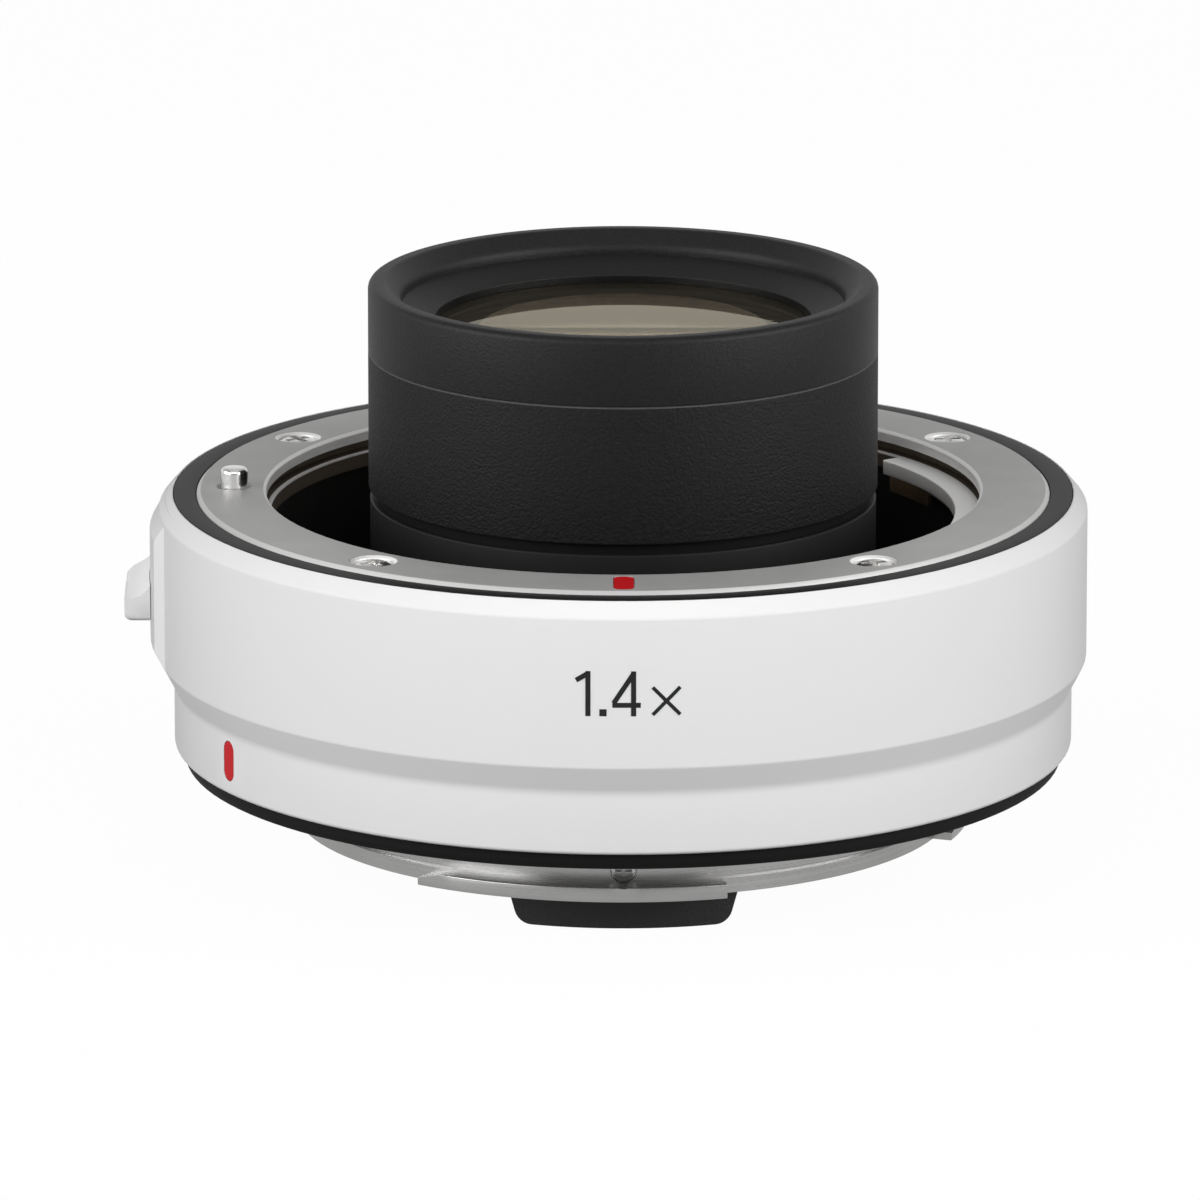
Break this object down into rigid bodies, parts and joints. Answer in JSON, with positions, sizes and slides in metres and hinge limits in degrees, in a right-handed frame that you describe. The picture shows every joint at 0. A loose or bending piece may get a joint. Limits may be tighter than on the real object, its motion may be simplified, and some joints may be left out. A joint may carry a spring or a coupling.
{
  "type": "camera teleconverter",
  "caption": "Ring-shaped camera lens extender with a bayonet mount on each side, a tall optical barrel on the axis, sprung contact pins and a sliding release lever.",
  "frame": {"origin": "optical axis at the camera flange plane", "axes": "+Z along the optical axis toward the lens side, -Y toward the index side, -X toward the release lever"},
  "size_m": [0.0738, 0.0712, 0.045],
  "materials": {
    "white_paint": "satin",
    "dark_grey": "matte",
    "steel": "brushed",
    "red_paint": "satin",
    "bronze": "satin",
    "black_metal": "anodised",
    "board": "satin",
    "chip": "matte",
    "flex": "satin",
    "black_plastic": "matte",
    "gold": "plated",
    "glass": "coated",
    "rubber": "matte"
  },
  "bodies": {
    "converter": {"body_shell": "white_paint", "front_bezel": "dark_grey", "lens_mount": "steel", "lens_mount_screws": "steel", "lens_mount_index": "red_paint", "body_index": "red_paint", "mount_leaf_springs": "bronze", "chassis": "black_metal", "circuit_board": "board", "board_chips": "chip", "board_screws": "steel", "front_flex": "flex", "rear_flex": "flex", "front_contact_block": "black_plastic", "contact_springs": "steel", "lock_guide_rods": "steel", "lock_spring": "steel", "front_hood": "black_metal", "barrel_sleeve": "black_metal", "barrel_base": "black_metal", "barrel_screws": "steel", "lens_tube": "black_metal", "lens_element_1": "glass", "lens_element_2": "glass", "lens_element_3": "glass", "lens_element_4": "glass", "lens_element_5": "glass", "lens_element_6": "glass", "lens_element_7": "glass", "front_spacer": "black_metal", "rear_spacer": "black_metal", "rear_retainer": "black_metal", "camera_mount": "steel", "camera_mount_screws": "steel", "baffle_screws": "steel", "mount_gasket": "rubber", "rear_baffle": "black_plastic", "rear_contact_block": "black_plastic", "rear_contact_pads": "gold"},
    "release": {"release_lever": "white_paint", "lock_slider": "steel", "lock_pin": "steel", "lever_cross_pin": "steel"},
    "contact_01": {"contact_pin_01": "gold"},
    "contact_02": {"contact_pin_02": "gold"},
    "contact_03": {"contact_pin_03": "gold"},
    "contact_04": {"contact_pin_04": "gold"},
    "contact_05": {"contact_pin_05": "gold"},
    "contact_06": {"contact_pin_06": "gold"},
    "contact_07": {"contact_pin_07": "gold"},
    "contact_08": {"contact_pin_08": "gold"},
    "contact_09": {"contact_pin_09": "gold"},
    "contact_10": {"contact_pin_10": "gold"},
    "contact_11": {"contact_pin_11": "gold"},
    "contact_12": {"contact_pin_12": "gold"}
  },
  "joints": [
    {"name": "release_slide", "type": "slide", "parent": "converter", "child": "release", "axis": [0, 0, -1], "range_m": [0, 0.002], "stiffness_N_per_m": 600, "springref_m": -0.003, "deforming": ["lock_spring"]},
    {"name": "contact_01_press", "type": "slide", "parent": "converter", "child": "contact_01", "axis": [0, 0, -1], "range_m": [0, 0.0006], "stiffness_N_per_m": 250, "springref_m": -0.0006, "deforming": ["contact_springs"]},
    {"name": "contact_02_press", "type": "slide", "parent": "converter", "child": "contact_02", "axis": [0, 0, -1], "range_m": [0, 0.0006], "stiffness_N_per_m": 250, "springref_m": -0.0006, "deforming": ["contact_springs"]},
    {"name": "contact_03_press", "type": "slide", "parent": "converter", "child": "contact_03", "axis": [0, 0, -1], "range_m": [0, 0.0006], "stiffness_N_per_m": 250, "springref_m": -0.0006, "deforming": ["contact_springs"]},
    {"name": "contact_04_press", "type": "slide", "parent": "converter", "child": "contact_04", "axis": [0, 0, -1], "range_m": [0, 0.0006], "stiffness_N_per_m": 250, "springref_m": -0.0006, "deforming": ["contact_springs"]},
    {"name": "contact_05_press", "type": "slide", "parent": "converter", "child": "contact_05", "axis": [0, 0, -1], "range_m": [0, 0.0006], "stiffness_N_per_m": 250, "springref_m": -0.0006, "deforming": ["contact_springs"]},
    {"name": "contact_06_press", "type": "slide", "parent": "converter", "child": "contact_06", "axis": [0, 0, -1], "range_m": [0, 0.0006], "stiffness_N_per_m": 250, "springref_m": -0.0006, "deforming": ["contact_springs"]},
    {"name": "contact_07_press", "type": "slide", "parent": "converter", "child": "contact_07", "axis": [0, 0, -1], "range_m": [0, 0.0006], "stiffness_N_per_m": 250, "springref_m": -0.0006, "deforming": ["contact_springs"]},
    {"name": "contact_08_press", "type": "slide", "parent": "converter", "child": "contact_08", "axis": [0, 0, -1], "range_m": [0, 0.0006], "stiffness_N_per_m": 250, "springref_m": -0.0006, "deforming": ["contact_springs"]},
    {"name": "contact_09_press", "type": "slide", "parent": "converter", "child": "contact_09", "axis": [0, 0, -1], "range_m": [0, 0.0006], "stiffness_N_per_m": 250, "springref_m": -0.0006, "deforming": ["contact_springs"]},
    {"name": "contact_10_press", "type": "slide", "parent": "converter", "child": "contact_10", "axis": [0, 0, -1], "range_m": [0, 0.0006], "stiffness_N_per_m": 250, "springref_m": -0.0006, "deforming": ["contact_springs"]},
    {"name": "contact_11_press", "type": "slide", "parent": "converter", "child": "contact_11", "axis": [0, 0, -1], "range_m": [0, 0.0006], "stiffness_N_per_m": 250, "springref_m": -0.0006, "deforming": ["contact_springs"]},
    {"name": "contact_12_press", "type": "slide", "parent": "converter", "child": "contact_12", "axis": [0, 0, -1], "range_m": [0, 0.0006], "stiffness_N_per_m": 250, "springref_m": -0.0006, "deforming": ["contact_springs"]}
  ]
}
